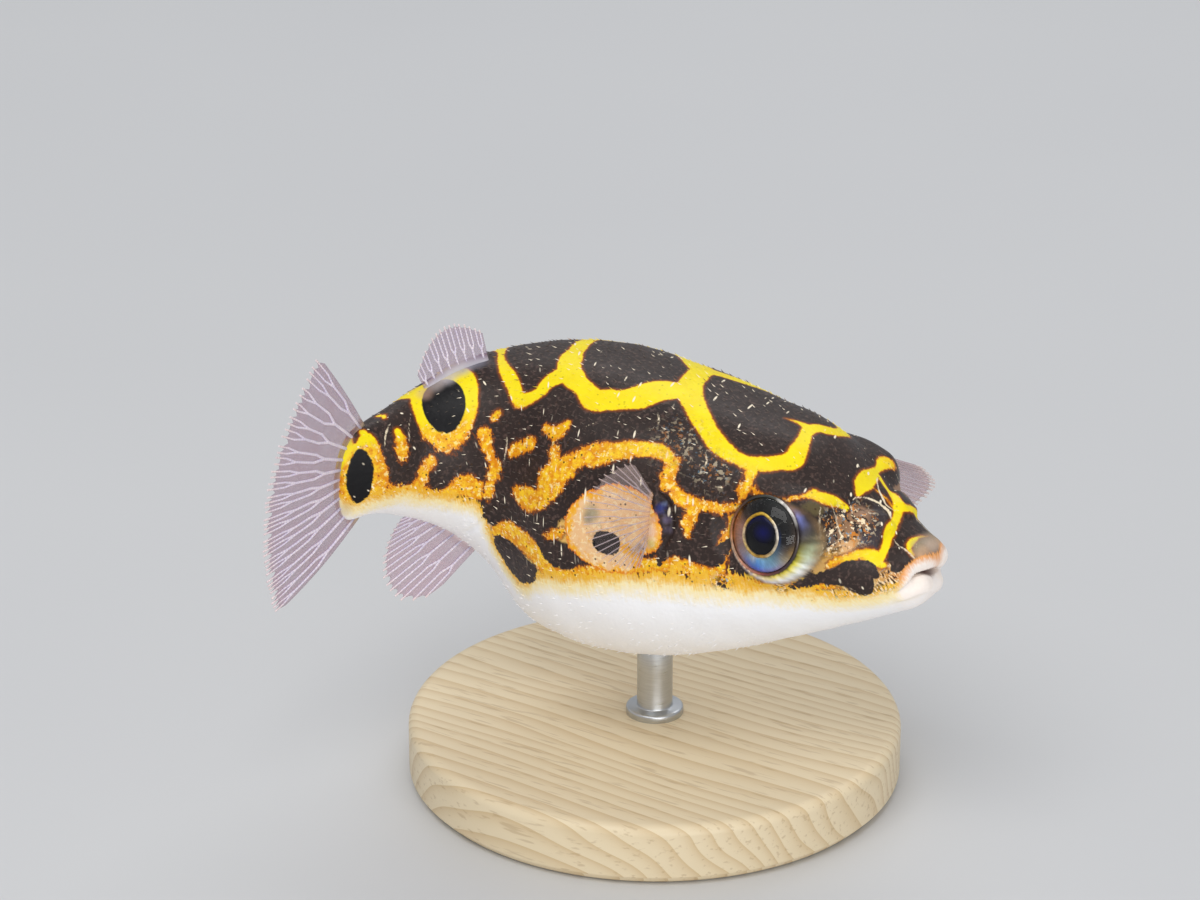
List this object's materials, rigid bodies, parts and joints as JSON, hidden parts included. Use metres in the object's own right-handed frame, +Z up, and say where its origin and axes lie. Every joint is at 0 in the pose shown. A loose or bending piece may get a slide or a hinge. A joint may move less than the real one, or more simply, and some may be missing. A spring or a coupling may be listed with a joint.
{
  "type": "figure-eight puffer fish display model",
  "caption": "Life-size still model of a small freshwater pufferfish with curled tail, yellow-on-brown winding pattern and white belly, held on a round wooden stand by a short rod.",
  "frame": {"origin": "centre of the stand base's underside", "axes": "+X towards the fish's snout, +Y to the fish's left, +Z up; the rod stands on the Z axis"},
  "size_m": [0.0416, 0.0416, 0.0352],
  "materials": {
    "patterned_skin": "velvety dark brown skin with winding bright yellow bands, ringed black eye-spots and tiny pale prickles",
    "belly_skin": "smooth silvery white belly skin with a fine grain of tiny prickles",
    "lip_skin": "smooth fleshy pale pink lips",
    "eye": "glossy dark eye with a black pupil in a thin gold ring and a silvery blue lower iris",
    "fin": "clear membrane over whitish lilac branching rays",
    "wood": "pale satin ash",
    "steel": "brushed"
  },
  "bodies": {
    "root": {"head": "patterned_skin", "trunk": "patterned_skin", "tail": "patterned_skin", "belly": "belly_skin", "upper_lip": "lip_skin", "lower_lip": "lip_skin", "eye_right": "eye", "eye_left": "eye", "dorsal_fin": "fin", "anal_fin": "fin", "caudal_fin": "fin", "pectoral_fin_right": "fin", "pectoral_fin_left": "fin", "stand_base": "wood", "stand_rod": "steel"}
  },
  "joints": []
}
